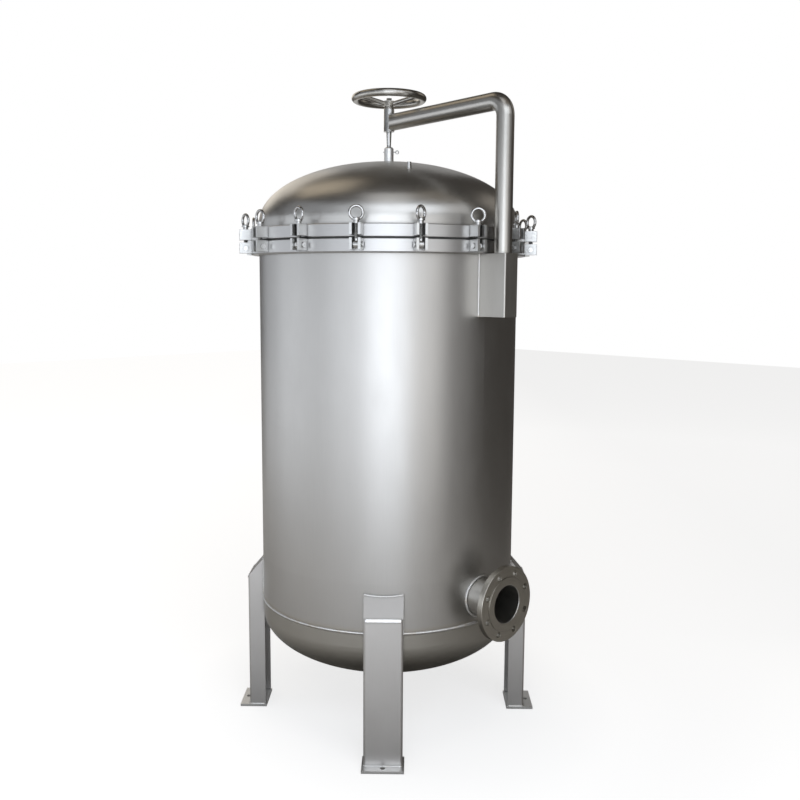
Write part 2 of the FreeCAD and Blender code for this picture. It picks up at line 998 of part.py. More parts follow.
def make_drain_plug():
    """A flanged plug screwed up into the drain socket, with a square for a key."""
    thread = cylinder(
        "plug_thread", "drain_bore_radius", "(drain_top - drain_bottom) / 2", z="drain_bottom"
    )
    flange = cylinder(
        "plug_flange",
        "plug_flange_radius",
        "plug_flange_height",
        z="drain_bottom - plug_flange_height",
    )
    square = box(
        "plug_square_end",
        "plug_square",
        "plug_square",
        "plug_square_height",
        x="-plug_square / 2",
        y="-plug_square / 2",
        z="drain_bottom - plug_flange_height - plug_square_height",
    )
    return fuse("drain_plug", thread, flange, square)


def make_handwheel():
    """A dished three-spoke wheel on the nut that drives the lift spindle."""
    rim = torus("wheel_rim", "wheel_rim_radius", "wheel_rim_wire", z="wheel_rim_height")
    hub = cylinder("wheel_hub", "hub_radius", "hub_top - hub_bottom", z="hub_bottom")
    collar = cylinder(
        "wheel_collar", "hub_collar_radius", "hub_top - hub_collar_bottom", z="hub_collar_bottom"
    )
    rise = evaluated("wheel_rim_height - spoke_root_height")
    run = evaluated("wheel_rim_radius")
    slope = math.degrees(math.atan2(run, rise))
    spokes = []
    for number in range(SPOKES):
        azimuth = FIRST_SPOKE + 360 / SPOKES * number
        turn = FreeCAD.Rotation(Z_AXIS, azimuth)
        lean = FreeCAD.Rotation(FreeCAD.Vector(0, 1, 0), slope)
        spoke = cylinder(
            f"wheel_spoke_{number + 1}",
            "spoke_radius",
            "sqrt(wheel_rim_radius ^ 2 + (wheel_rim_height - spoke_root_height) ^ 2)",
            z="spoke_root_height",
            rotation=turn.multiply(lean),
        )
        spokes.append(spoke)
    bore = cylinder(
        "wheel_bore", "spindle_radius + running_gap", "4 * hub_radius", z="hub_bottom"
    )
    return cut("handwheel", fuse("wheel_blank", rim, hub, collar, *spokes), bore)


def cartridge_places():
    """Centres of a hexagonal pack round the tie rod, as multiples of the pitch."""
    rings = range(-CARTRIDGE_RINGS, CARTRIDGE_RINGS + 1)
    return [
        (column + row / 2, row * math.sqrt(3) / 2)
        for row in rings
        for column in rings
        if abs(column + row) <= CARTRIDGE_RINGS and (column, row) != (0, 0)
    ]


def at_cartridges(name, radius, height, z):
    """One cylinder at every cartridge's place."""
    return [
        cylinder(
            f"{name}_{number:02d}",
            radius,
            height,
            x=f"cartridge_pitch * {x:.6f}",
            y=f"cartridge_pitch * {y:.6f}",
            z=z,
        )
        for number, (x, y) in enumerate(cartridge_places(), start=1)
    ]


def make_cartridges():
    """Melt-blown filter cartridges, open at both ends, standing on the tube sheet."""
    blanks = at_cartridges("cartridge", "cartridge_radius", "cartridge_length", "tube_sheet_top")
    bores = at_cartridges(
        "cartridge_bore", "cartridge_bore_radius", "cartridge_length", "tube_sheet_top"
    )
    cartridges = [
        cut(f"hollow_cartridge_{number:02d}", blank, bore)
        for number, (blank, bore) in enumerate(zip(blanks, bores), start=1)
    ]
    return group("cartridges", cartridges)


def perforated_disc(name, radius, thickness, hole_radius, z):
    """A plate with a hole at every cartridge and one for the tie rod."""
    disc = cylinder(f"{name}_disc", radius, thickness, z=z)
    holes = at_cartridges(f"{name}_hole", hole_radius, thickness, z)
    holes.append(cylinder(f"{name}_rod_hole", "tie_rod_radius", thickness, z=z))
    return cut(name, disc, group(f"{name}_holes", holes))


def make_tube_sheet():
    return perforated_disc(
        "tube_sheet",
        "vessel_radius - wall",
        "tube_sheet_top - tube_sheet_bottom",
        "seat_hole_radius",
        "tube_sheet_bottom",
    )


def make_hold_down_plate():
    return perforated_disc(
        "hold_down_plate",
        "hold_down_radius",
        "hold_down_thickness",
        "hold_down_hole_radius",
        "tube_sheet_top + cartridge_length",
    )


def make_tie_rod():
    return cylinder(
        "tie_rod", "tie_rod_radius", "tie_rod_top - tube_sheet_bottom", z="tube_sheet_bottom"
    )


def make_tie_rod_nut():
    return tube(
        "tie_rod_nut",
        "tie_nut_radius",
        "tie_rod_radius",
        "tie_nut_height",
        z="tube_sheet_top + cartridge_length + hold_down_thickness",
    )


def make_all():
    """Every sub-part of the housing, in the order it would be put together."""
    body_ring_height = "shell_top - body_ring_bottom"
    lid_ring_height = "lid_ring_top - lid_ring_bottom"
    return [
        make_shell(),
        make_bottom_head(),
        make_drain_socket(),
        make_drain_plug(),
        flat_ring(
            "body_flange_ring", "ring_radius", "vessel_radius", body_ring_height, "body_ring_bottom"
        ),
        make_lugs("body_lugs", "body_lug_bottom", "shell_top - body_lug_bottom", True),
        make_pivot_pins(),
        make_gasket(),
        make_legs(),
        make_foot_plates(),
        group(
            "nozzle_pipes",
            [make_nozzle_pipe("outlet_pipe", 1), make_nozzle_pipe("inlet_pipe", -1)],
        ),
        group(
            "nozzle_flanges",
            [make_nozzle_flange("outlet_flange", 1), make_nozzle_flange("inlet_flange", -1)],
        ),
        make_davit_bracket(),
        make_davit_pipe(),
        make_davit_sleeve(),
        make_tube_sheet(),
        make_cartridges(),
        make_hold_down_plate(),
        make_tie_rod(),
        make_tie_rod_nut(),
        make_lid_dome(),
        flat_ring(
            "lid_flange_ring", "ring_radius", "vessel_radius", lid_ring_height, "lid_ring_bottom"
        ),
        make_lugs("lid_lugs", "lid_lug_bottom", "lid_lug_top - lid_lug_bottom", False),
        make_lid_socket(),
        make_lift_spindle(),
        make_locking_pin(),
        make_vent_socket(),
        make_handwheel(),
        *make_swing_bolts(),
        *make_eye_nuts(),
    ]


def check(nodes):
    """Stop if any object failed or any sub-part isn't a set of sound solids."""
    for item in doc.Objects:
        if {"Invalid", "Error"} & set(item.State):
            raise RuntimeError(f"{item.Label}: {item.State}")
    for node in nodes:
        shape = node.Shape
        if shape.isNull() or not shape.isValid() or not shape.Solids:
            raise RuntimeError(f"{node.Label}: no sound solid")


def export(nodes):
    os.makedirs("parts", exist_ok=True)
    for node in nodes:
        node.Shape.exportStep(f"parts/{node.Label}.step")


fill_sheet()
sub_parts = make_all()
doc.recompute()
check(sub_parts)
export(sub_parts)
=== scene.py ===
"""Looks for the cartridge filter housing: stainless finishes, welds, threads, floor, light, camera."""
import math
import bmesh
import bpy
from mathutils import Matrix, Vector, noise
from mathutils.bvhtree import BVHTree


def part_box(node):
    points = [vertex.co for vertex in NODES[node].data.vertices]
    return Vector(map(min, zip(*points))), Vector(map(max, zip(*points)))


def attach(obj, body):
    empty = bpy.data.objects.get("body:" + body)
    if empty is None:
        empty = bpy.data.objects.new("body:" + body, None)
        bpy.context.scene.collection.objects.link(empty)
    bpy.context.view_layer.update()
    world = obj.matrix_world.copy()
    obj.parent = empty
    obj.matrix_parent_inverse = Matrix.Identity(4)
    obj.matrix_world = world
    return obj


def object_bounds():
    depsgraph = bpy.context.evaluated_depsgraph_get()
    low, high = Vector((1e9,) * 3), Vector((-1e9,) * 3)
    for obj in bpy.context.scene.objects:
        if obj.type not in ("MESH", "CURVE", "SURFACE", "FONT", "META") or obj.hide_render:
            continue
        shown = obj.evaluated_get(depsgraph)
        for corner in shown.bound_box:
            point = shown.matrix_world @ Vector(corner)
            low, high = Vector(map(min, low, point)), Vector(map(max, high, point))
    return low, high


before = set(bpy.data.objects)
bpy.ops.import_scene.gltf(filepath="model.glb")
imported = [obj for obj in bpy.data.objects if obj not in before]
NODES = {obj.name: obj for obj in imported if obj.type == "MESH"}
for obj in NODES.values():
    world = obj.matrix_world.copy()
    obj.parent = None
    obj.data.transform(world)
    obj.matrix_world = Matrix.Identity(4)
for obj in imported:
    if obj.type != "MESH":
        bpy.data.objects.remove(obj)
CAD_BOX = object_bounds()

SMOOTH_BELOW = math.radians(32)
LEG_AZIMUTHS = [math.radians(45 + 90 * number) for number in range(4)]
PICKING_SLACK = 0.0005


# ------------------------------------------------------------ sizes from the frame


def middle(node):
    """The centre of a CAD node's box."""
    low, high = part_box(node)
    return (low + high) / 2


def top(node):
    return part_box(node)[1].z


def bottom(node):
    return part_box(node)[0].z


def radius_of(node):
    """Half the width of a CAD node that is centred on the vessel's axis."""
    low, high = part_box(node)
    return (high.x - low.x) / 2


def points_of(node, azimuth=0.0):
    """A node's vertices in a frame turned so that the azimuth lies along +X."""
    turn = Matrix.Rotation(-azimuth, 3, "Z")
    return [turn @ vertex.co for vertex in NODES[node].data.vertices]


def height_of(node, x, y):
    """The height of a node's upper surface above one point of the floor."""
    mesh = NODES[node].data
    corners = [vertex.co for vertex in mesh.vertices]
    faces = [face.vertices for face in mesh.polygons]
    tree = BVHTree.FromPolygons(corners, faces)
    hit = tree.ray_cast(Vector((x, y, CAD_BOX[1].z + 1)), Vector((0, 0, -1)))
    return hit[0].z


VESSEL = radius_of("shell")
SEAM = bottom("shell")
LEG_POINTS = [
    point
    for point in points_of("legs", LEG_AZIMUTHS[0])
    if point.x > VESSEL / 2 and abs(point.y) < VESSEL / 2
]
LEG_OUTER = max(point.x for point in LEG_POINTS)
LEG_HALF = max(point.y for point in LEG_POINTS)
LEG_SHOULDER = max(point.z for point in LEG_POINTS if point.x > LEG_OUTER - PICKING_SLACK)
LEG_TOP = max(LEG_POINTS, key=lambda point: point.z)
LEG_SLOPE = (LEG_TOP.z - LEG_SHOULDER) / (LEG_OUTER - LEG_TOP.x)
NOZZLE_Z = middle("nozzle_flanges").z
NOZZLE_BACK = min(point.x for point in points_of("nozzle_flanges") if point.x > 0)
PIPE = (top("nozzle_pipes") - bottom("nozzle_pipes")) / 2


def on_shell(y, z, clearance=0.0):
    """A point on the shell's outside, on the +X side."""
    return Vector((math.sqrt((VESSEL + clearance) ** 2 - y * y), y, z))


def steps(start, end, count):
    return [start + (end - start) * number / (count - 1) for number in range(count)]


def circle(centre, radius, axis, count=96):
    """Points round a circle whose normal is X or Z."""
    points = []
    for number in range(count):
        turn = 2 * math.pi * number / count
        across, along = radius * math.cos(turn), radius * math.sin(turn)
        offset = Vector((0, across, along)) if axis == "X" else Vector((across, along, 0))
        points.append(centre + offset)
    return points


def turned(path, azimuth):
    turn = Matrix.Rotation(azimuth, 3, "Z")
    return [turn @ point for point in path]


# ------------------------------------------------------------------- node helpers


class Nodes:
    """A material's node tree with short calls for adding nodes and links."""

    def __init__(self, name):
        self.material = bpy.data.materials.new(name)
        self.material.use_nodes = True
        self.tree = self.material.node_tree
        self.shader = self.tree.nodes["Principled BSDF"]

    def add(self, kind, inputs=None, **settings):
        node = self.tree.nodes.new(kind)
        for key, value in settings.items():
            setattr(node, key, value)
        for key, value in (inputs or {}).items():
            self.feed(node.inputs[key], value)
        return node

    def feed(self, socket, value):
        if isinstance(value, bpy.types.NodeSocket):
            self.tree.links.new(value, socket)
        else:
            socket.default_value = value

    def set(self, **values):
        """Numbers that are the same all over, set on the shader's own sockets."""
        for name, value in values.items():
            self.shader.inputs[name.replace("_", " ")].default_value = value

    def math(self, operation, *values):
        node = self.add("ShaderNodeMath", operation=operation)
        for socket, value in zip(node.inputs, values):
            self.feed(socket, value)
        return node.outputs[0]

    def noise(self, vector, scale, detail=4, roughness=0.55):
        node = self.add(
            "ShaderNodeTexNoise",
            {"Vector": vector, "Scale": scale, "Detail": detail, "Roughness": roughness},
        )
        return node.outputs["Fac"]

    def scaled(self, vector, factors):
        node = self.add("ShaderNodeVectorMath", operation="MULTIPLY")
        self.feed(node.inputs[0], vector)
        node.inputs[1].default_value = factors
        return node.outputs[0]

    def remap(self, value, low, high, to_low, to_high):
        node = self.add(
            "ShaderNodeMapRange",
            {"Value": value, "From Min": low, "From Max": high, "To Min": to_low, "To Max": to_high},
        )
        return node.outputs["Result"]

    def mix(self, factor, first, second):
        node = self.add("ShaderNodeMix", data_type="RGBA")
        self.feed(node.inputs["Factor"], factor)
        self.feed(node.inputs[6], first)
        self.feed(node.inputs[7], second)
        return node.outputs[2]

    def swing(self, noise_value, to_low, to_high):
        """A noise, which mostly lies from 0.3 to 0.7, spread over a range."""
        return self.remap(noise_value, 0.3, 0.7, to_low, to_high)

    def bump(self, height, distance, normal=None):
        node = self.add("ShaderNodeBump", {"Height": height, "Distance": distance})
        if normal is not None:
            self.feed(node.inputs["Normal"], normal)
        return node.outputs["Normal"]

    def place(self):
        """Position in the row frame, which is each piece's own object space."""
        return self.add("ShaderNodeTexCoord").outputs["Object"]

    def split(self, vector):
        parts = self.add("ShaderNodeSeparateXYZ", {"Vector": vector})
        return parts.outputs["X"], parts.outputs["Y"], parts.outputs["Z"]

    def joined(self, x, y, z):
        return self.add("ShaderNodeCombineXYZ", {"X": x, "Y": y, "Z": z}).outputs["Vector"]

    def reach(self, first, second):
        """The length of a step of two parts."""
        squares = [self.math("POWER", value, 2.0) for value in (first, second)]
        return self.math("SQRT", self.math("ADD", *squares))

    def line(self, value, centre, half_width):
        """1 where a value lies at a centre, fading to 0 at the half width."""
        away = self.math("ABSOLUTE", self.math("SUBTRACT", value, centre))
        node = self.add(
            "ShaderNodeMapRange",
            {"Value": away, "From Min": 0.0, "From Max": half_width, "To Min": 1.0, "To Max": 0.0},
            interpolation_type="SMOOTHSTEP",
        )
        return node.outputs["Result"]


def colour(red, green, blue):
    return (red, green, blue, 1.0)


# ----------------------------------------------------------------------- materials

STEEL = colour(0.56, 0.55, 0.535)
STEEL_WARM = colour(0.52, 0.505, 0.475)
STEEL_DULL = colour(0.50, 0.485, 0.455)
STEEL_PALE = colour(0.66, 0.645, 0.63)
STEEL_COOL = colour(0.53, 0.525, 0.52)
STEEL_BRIGHT = colour(0.66, 0.66, 0.65)
DOME_STEEL = colour(0.61, 0.60, 0.58)
HEAD_STEEL = colour(0.46, 0.445, 0.41)
FLANGE_STEEL = colour(0.49, 0.465, 0.415)
WELD_METAL = colour(0.71, 0.705, 0.695)
SATIN_WHITE = colour(0.88, 0.88, 0.87)
STRAW = colour(0.50, 0.40, 0.24)
HEAT_BLUE = colour(0.30, 0.32, 0.40)


# Coordinates along the marks are scaled by these, which draws the marks out lengthwise.
BRUSHED_RUN = 0.03
TURNED_RUN = 0.02
NOZZLE_RUN = 0.004


def grain_space(nodes, style):
    """Coordinates stretched along the brushing or turning marks."""
    place = nodes.place()
    x, y, z = nodes.split(place)
    if style == "vertical":
        return nodes.scaled(place, (1, 1, BRUSHED_RUN))
    if style == "round":
        turn = nodes.math("ARCTAN2", y, x)
        return nodes.joined(nodes.reach(x, y), nodes.math("MULTIPLY", turn, TURNED_RUN), z)
    if style == "nozzle":
        up = nodes.math("SUBTRACT", z, NOZZLE_Z)
        turn = nodes.math("ARCTAN2", up, y)
        return nodes.joined(nodes.reach(y, up), nodes.math("MULTIPLY", turn, NOZZLE_RUN), x)
    return place


GRAIN_SCALE = 420
CLOUD_SCALE = 5.5
SMEAR_SCALE = 22
GLOSS_GRAIN = 0.015
GRAIN_DEPTH = 0.00003
EASED_EDGE = 0.0012
# Painted shade in crevices: how near another surface must be, and how dark the shade gets.
CREVICE = 0.010
CREVICE_SHADE_TONE = 0.35
CREVICE_DEEP = 0.30
CREVICE_OPEN = 0.85


class Steel(Nodes):
    """Stainless steel with its own grain, cloudy tone, uneven gloss and eased edges."""

    def __init__(self, name, base, roughness, style="plain", brushing=0.03, mottle=0.025):
        super().__init__(name)
        self.roughness = roughness
        self.where = self.place()
        self.grain = self.noise(grain_space(self, style), GRAIN_SCALE, 3, 0.6)
        cloud = self.noise(self.where, CLOUD_SCALE, 5, 0.55)
        self.tone = self.math(
            "ADD",
            self.swing(cloud, 1 - mottle, 1 + mottle),
            self.swing(self.grain, -brushing, brushing),
        )
        self.base = base
        self.height = self.grain
        self.set(Metallic=1.0)

    def shade(self, factor, amount):
        """Makes the tone lighter or darker where the factor is 1."""
        self.tone = self.math("MULTIPLY_ADD", factor, amount, self.tone)

    def tint(self, factor, hue):
        self.base = self.mix(factor, self.base, hue)

    def paint_crevice_shade(self):
        """Painted shade where another surface is within a centimetre."""
        hidden = self.add("ShaderNodeAmbientOcclusion", {"Distance": CREVICE}, samples=4)
        shade = self.remap(hidden.outputs["AO"], CREVICE_DEEP, CREVICE_OPEN, CREVICE_SHADE_TONE, 1.0)
        # Painted shade: the tone darkens where the occlusion finds another surface close by.
        self.tone = self.math("MULTIPLY", self.tone, shade)

    def finish(self, edge=0.0, depth=GRAIN_DEPTH, crevice_shade=True):
        """Links tone, with painted shade in crevices unless that is turned off, gloss, grain and, where
        an edge radius is given, the eased edges.
        """
        if crevice_shade:
            self.paint_crevice_shade()
        tinted = self.add("ShaderNodeVectorMath", operation="SCALE")
        if isinstance(self.base, tuple):
            tinted.inputs[0].default_value = self.base[:3]
        else:
            self.feed(tinted.inputs[0], self.base)
        self.feed(tinted.inputs["Scale"], self.tone)
        self.feed(self.shader.inputs["Base Color"], tinted.outputs[0])
        smear = self.noise(self.scaled(self.where, (1, 1, 0.35)), SMEAR_SCALE, 4, 0.6)
        uneven = self.math(
            "ADD",
            self.swing(smear, self.roughness * 0.95, self.roughness * 1.06),
            self.swing(self.grain, -GLOSS_GRAIN, GLOSS_GRAIN),
        )
        self.feed(self.shader.inputs["Roughness"], uneven)
        eased = None
        if edge:
            eased = self.add("ShaderNodeBevel", {"Radius": edge}, samples=4).outputs["Normal"]
        self.feed(self.shader.inputs["Normal"], self.bump(self.height, depth, normal=eased))
        return self.material


LONG_SEAM_AZIMUTH = math.radians(120)
LONG_SEAM_HALF_WIDTH = 0.007
HEAT_BAND = 0.020
TUBE_SHEET_WELD = 0.006
TUBE_SHEET_BLUR = 0.002


def shell_steel(name):
    """Satin sheet with a ground longitudinal weld, and a little darker, in patches, below the tube
    sheet.
    """
    steel = Steel(name, STEEL, 0.36, "vertical", brushing=0.015, mottle=0.012)
    x, y, z = steel.split(steel.where)
    turn = steel.math("ARCTAN2", y, x)
    arc = steel.math("MULTIPLY", turn, VESSEL)
    ground = steel.line(arc, LONG_SEAM_AZIMUTH * VESSEL, LONG_SEAM_HALF_WIDTH)
    steel.shade(ground, 0.06)
    patchy = steel.remap(steel.noise(steel.where, 4, 2), 0.35, 0.6, 0.4, 1.0)
    sheet = top("tube_sheet")
    below = steel.remap(z, sheet - TUBE_SHEET_WELD, sheet + TUBE_SHEET_BLUR, 1.0, 0.0)
    steel.shade(steel.math("MULTIPLY", below, patchy), -0.03)
    by_seam = steel.line(z, SEAM, HEAT_BAND)
    steel.tint(steel.math("MULTIPLY", by_seam, 0.25), STRAW)
    return steel.finish()


def plain_steel(base, roughness, style="plain", edge=0.0, brushing=0.04):
    """Steel with nothing beyond its tone, painted crevice shade, gloss, grain and eased edges."""

    def build(name):
        return Steel(name, base, roughness, style, brushing).finish(edge)

    return build


FOLDED_EDGE = 0.0015


def leg_steel(name):
    """Folded sheet with a dull skin, and a painted reflection of the darker floor that darkens it
    towards the foot.
    """
    steel = Steel(name, STEEL_PALE, 0.50, "vertical", brushing=0.012)
    z = steel.split(steel.where)[2]
    # Painted reflection: the tone darkens towards the foot as if the sheet mirrored a darker floor.
    steel.shade(steel.remap(z, 0.0, LEG_SHOULDER, 1.0, 0.0), -0.16)
    return steel.finish(edge=FOLDED_EDGE)


GROOVE_PITCH = 0.0016


def flange_steel(name):
    """Machined flange with fine turned grooves on its faces."""
    steel = Steel(name, FLANGE_STEEL, 0.33, "nozzle", brushing=0.10)
    y, z = steel.split(steel.where)[1:]
    away = steel.reach(y, steel.math("SUBTRACT", z, NOZZLE_Z))
    turning = steel.math("SINE", steel.math("MULTIPLY", away, 2 * math.pi / GROOVE_PITCH))
    steel.height = steel.math("ADD", steel.grain, steel.math("MULTIPLY", turning, 0.5))
    return steel.finish(edge=EASED_EDGE, depth=0.00005)


BOLT_PITCH = 0.00175
BOLT_NECK = 0.015
SCREW_PITCH = 0.004
THREAD_DEPTH = 0.25


def threaded_steel(pitch, low, high):
    """Bright bar with a rolled thread from one height to another."""

    def build(name):
        steel = Steel(name, STEEL_BRIGHT, 0.20, brushing=0.02)
        z = steel.split(steel.where)[2]
        wave = steel.math("SINE", steel.math("MULTIPLY", z, 2 * math.pi / pitch))
        inside = steel.math(
            "MULTIPLY", steel.math("GREATER_THAN", z, low), steel.math("LESS_THAN", z, high)
        )
        steel.height = steel.math("MULTIPLY", wave, inside)
        # Painted highlight on the thread's crests and painted shade in its grooves.
        steel.shade(steel.height, 0.12)
        return steel.finish(depth=pitch * THREAD_DEPTH)

    return build


def cast_steel(name):
    """Investment-cast lugs with a fine sandy skin."""
    steel = Steel(name, STEEL_BRIGHT, 0.34, brushing=0.05, mottle=0.06)
    sand = steel.noise(steel.where, 900, 3, 0.7)
    steel.height = sand
    steel.shade(steel.swing(sand, -1.0, 1.0), 0.06)
    return steel.finish(edge=0.0010, depth=0.00012)


HUB_SHARE = 1.3
HUB_BLUR = 1.4


def wheel_steel(name):
    """Polished handwheel, its hub and spindle nut brighter than the rim."""
    steel = Steel(name, STEEL_DULL, 0.24, "round", brushing=0.04)
    x, y = steel.split(steel.where)[:2]
    hub = radius_of("davit_sleeve") * HUB_SHARE
    steel.shade(steel.remap(steel.reach(x, y), hub, hub * HUB_BLUR, 1.0, 0.0), 0.45)
    return steel.finish()


def weld_steel(name):
    """Weld metal, with straw and blue heat colours that come and go along the bead."""
    steel = Steel(name, WELD_METAL, 0.30, brushing=0.08, mottle=0.10)
    heat = steel.noise(steel.where, 38, 3)
    steel.tint(steel.remap(heat, 0.52, 0.74, 0.0, 0.35), STRAW)
    steel.tint(steel.remap(heat, 0.28, 0.40, 0.20, 0.0), HEAT_BLUE)
    return steel.finish(depth=0.0001, crevice_shade=False)


def rubber(name):
    """Dull black gasket rubber with a fine speckle."""
    nodes = Nodes(name)
    speck = nodes.noise(nodes.place(), 900, 3)
    shade = nodes.mix(speck, colour(0.035, 0.035, 0.034), colour(0.065, 0.065, 0.06))
    nodes.feed(nodes.shader.inputs["Base Color"], shade)
    nodes.feed(nodes.shader.inputs["Roughness"], nodes.swing(speck, 0.6, 0.8))
    nodes.feed(nodes.shader.inputs["Normal"], nodes.bump(speck, 0.0001))
    return nodes.material


def fibre(name):
    """Melt-blown filter fibre, wound in fine bands."""
    nodes = Nodes(name)
    wound = nodes.noise(nodes.scaled(nodes.place(), (1, 1, 6)), 160, 5, 0.7)
    shade = nodes.mix(wound, colour(0.62, 0.62, 0.58), colour(0.85, 0.85, 0.82))
    nodes.feed(nodes.shader.inputs["Base Color"], shade)
    nodes.feed(nodes.shader.inputs["Roughness"], nodes.swing(wound, 0.85, 0.95))
    nodes.feed(nodes.shader.inputs["Normal"], nodes.bump(wound, 0.0008))
    return nodes.material


FINISHES = {
    "shell_steel": shell_steel,
    "head_steel": plain_steel(HEAD_STEEL, 0.34, "round", brushing=0.02),
    "dome_steel": plain_steel(DOME_STEEL, 0.33, "round", brushing=0.02),
    "ring_steel": plain_steel(STEEL_COOL, 0.31, "round", EASED_EDGE, brushing=0.02),
    "leg_steel": leg_steel,
    "bracket_steel": plain_steel(STEEL_WARM, 0.40, "vertical", EASED_EDGE, brushing=0.02),
    "pipe_steel": plain_steel(STEEL_WARM, 0.30, "vertical"),
    "stub_steel": plain_steel(STEEL_DULL, 0.33),
    "flange_steel": flange_steel,
    "bright_steel": plain_steel(STEEL_BRIGHT, 0.18, edge=0.0010),
    "eye_steel": plain_steel(STEEL_COOL, 0.12, brushing=0.05),
    "cast_steel": cast_steel,
    "satin_steel": plain_steel(SATIN_WHITE, 0.42),
    "bolt_steel": threaded_steel(
        BOLT_PITCH, middle("pivot_pins").z + BOLT_NECK, top("swing_bolt_01") + PICKING_SLACK
    ),
    "screw_steel": threaded_steel(
        SCREW_PITCH, bottom("davit_sleeve"), top("lift_spindle") + PICKING_SLACK
    ),
    "wheel_steel": wheel_steel,
    "weld_steel": weld_steel,
    "gasket_rubber": rubber,
    "filter_fibre": fibre,
}

NODE_FINISH = {
    "shell": "shell_steel",
    "bottom_head": "head_steel",
    "lid_dome": "dome_steel",
    "body_flange_ring": "ring_steel",
    "lid_flange_ring": "ring_steel",
    "lid_gasket": "gasket_rubber",
    "body_lugs": "cast_steel",
    "lid_lugs": "cast_steel",
    "lid_socket": "satin_steel",
    "legs": "leg_steel",
    "foot_plates": "satin_steel",
    "nozzle_pipes": "stub_steel",
    "nozzle_flanges": "flange_steel",
    "davit_bracket": "bracket_steel",
    "davit_pipe": "pipe_steel",
    "lift_spindle": "screw_steel",
    "handwheel": "wheel_steel",
    "cartridges": "filter_fibre",
}
FINISH_BY_PREFIX = {"swing_bolt": "bolt_steel", "eye_nut": "eye_steel"}


def finish_of(name):
    """Which finish a CAD node gets: its own, its kind's, or bright steel."""
    for prefix, finish in FINISH_BY_PREFIX.items():
        if name.startswith(prefix):
            return finish
    return NODE_FINISH.get(name, "bright_steel")


def finish_nodes():
    """A procedural material and crease-aware smooth shading for every CAD node."""
    for name, node in NODES.items():
        material = MATERIALS[finish_of(name)]
        if not node.material_slots:
            node.data.materials.append(material)
        for slot in node.material_slots:
            slot.material = material
        node.data.set_sharp_from_angle(angle=SMOOTH_BELOW)


# ---------------------------------------------------------------------- weld beads

BEAD_SIDES = 8
RIPPLE_PITCH = 0.0042
RIPPLE_DEPTH = 0.10
WANDER = 0.16
WANDER_SCALE = 60
STEPS_PER_RIPPLE = 4
OFF_EVERY_PATH = Vector((0.31, 0.17, 0.93))
BAND_RADIUS = 0.017
BAND_DEPTH = 0.0025
BAND_RISE = 0.0006
BAND_WEAR = 0.0004
BAND_WEAR_SCALE = 70
ROUND_VESSEL = 240
ROUND_STUB = 40
ROUND_DRAIN = 48

# The radius of each bead in metres, by what it joins.
BEADS = {
    "seam": 0.0050,
    "body_ring": 0.0022,
    "lid_ring": 0.0018,
    "nozzle_saddle": 0.0040,
    "flange_back": 0.0026,
    "flange_inside": 0.0013,
    "leg_top": 0.0046,
    "leg_side": 0.0026,
    "leg_foot": 0.0022,
    "bracket_under": 0.0024,
    "bracket_side": 0.0032,
    "sleeve": 0.0018,
    "socket": 0.0022,
    "vent": 0.0018,
    "drain": 0.0022,
}


def evenly(path, closed):
    """The path again, at even steps short enough to show the bead's ripples."""
    points = list(path) + ([path[0]] if closed else [])
    runs = [(b - a).length for a, b in zip(points, points[1:])]
    total = sum(runs)
    count = max(8, round(total / RIPPLE_PITCH * STEPS_PER_RIPPLE))
    spread = []
    run = 0
    passed = 0.0
    for step in range(count + (0 if closed else 1)):
        target = total * step / count
        while run < len(runs) - 1 and passed + runs[run] < target:
            passed += runs[run]
            run += 1
        share = (target - passed) / max(runs[run], 1e-9)
        spread.append(points[run].lerp(points[run + 1], min(share, 1.0)))
    return spread


def lay_bead(mesh, path, radius, closed=False):
    """Adds a rippled weld bead, round in section, along a path in the row frame."""
    points = evenly(path, closed)
    count = len(points)
    rings = []
    for index, point in enumerate(points):
        after = points[(index + 1) % count] if closed else points[min(index + 1, count - 1)]
        before = points[index - 1] if closed else points[max(index - 1, 0)]
        ahead = (after - before).normalized()
        side = ahead.cross(OFF_EVERY_PATH).normalized()
        above = side.cross(ahead)
        ripple = 1 + RIPPLE_DEPTH * math.cos(2 * math.pi * index / STEPS_PER_RIPPLE)
        size = radius * ripple * (1 + WANDER * noise.noise(point * WANDER_SCALE))
        rings.append(
            [
                mesh.verts.new(point + (side * math.cos(turn) + above * math.sin(turn)) * size)
                for turn in (2 * math.pi * k / BEAD_SIDES for k in range(BEAD_SIDES))
            ]
        )
    following_rings = rings[1:] + (rings[:1] if closed else [])
    for ring, following in zip(rings, following_rings):
        for k in range(BEAD_SIDES):
            mesh.faces.new((ring[k], ring[k - 1], following[k - 1], following[k]))
    if not closed:
        mesh.faces.new(rings[0])
        mesh.faces.new(reversed(rings[-1]))


def lay_ground_band(mesh, centre, low, high, half, azimuth):
    """Adds a weld ground to a shallow round along a fold that runs across a leg."""
    turn = Matrix.Rotation(azimuth, 3, "Z")
    angles = steps(low, high, 8)
    rings = []
    for y in steps(-half, half, 30):
        wear = noise.noise(Vector((azimuth, y * BAND_WEAR_SCALE, 0)))
        worn = BAND_RADIUS + BAND_WEAR * wear
        section = [(worn, angle) for angle in angles]
        section += [(BAND_RADIUS - BAND_DEPTH, angle) for angle in reversed(angles)]
        points = [centre + Vector((r * math.cos(angle), y, r * math.sin(angle))) for r, angle in section]
        rings.append([mesh.verts.new(turn @ point) for point in points])
    for ring, following in zip(rings, rings[1:]):
        for k in range(len(ring)):
            mesh.faces.new((ring[k], ring[k - 1], following[k - 1], following[k]))
    mesh.faces.new(rings[0])
    mesh.faces.new(reversed(rings[-1]))


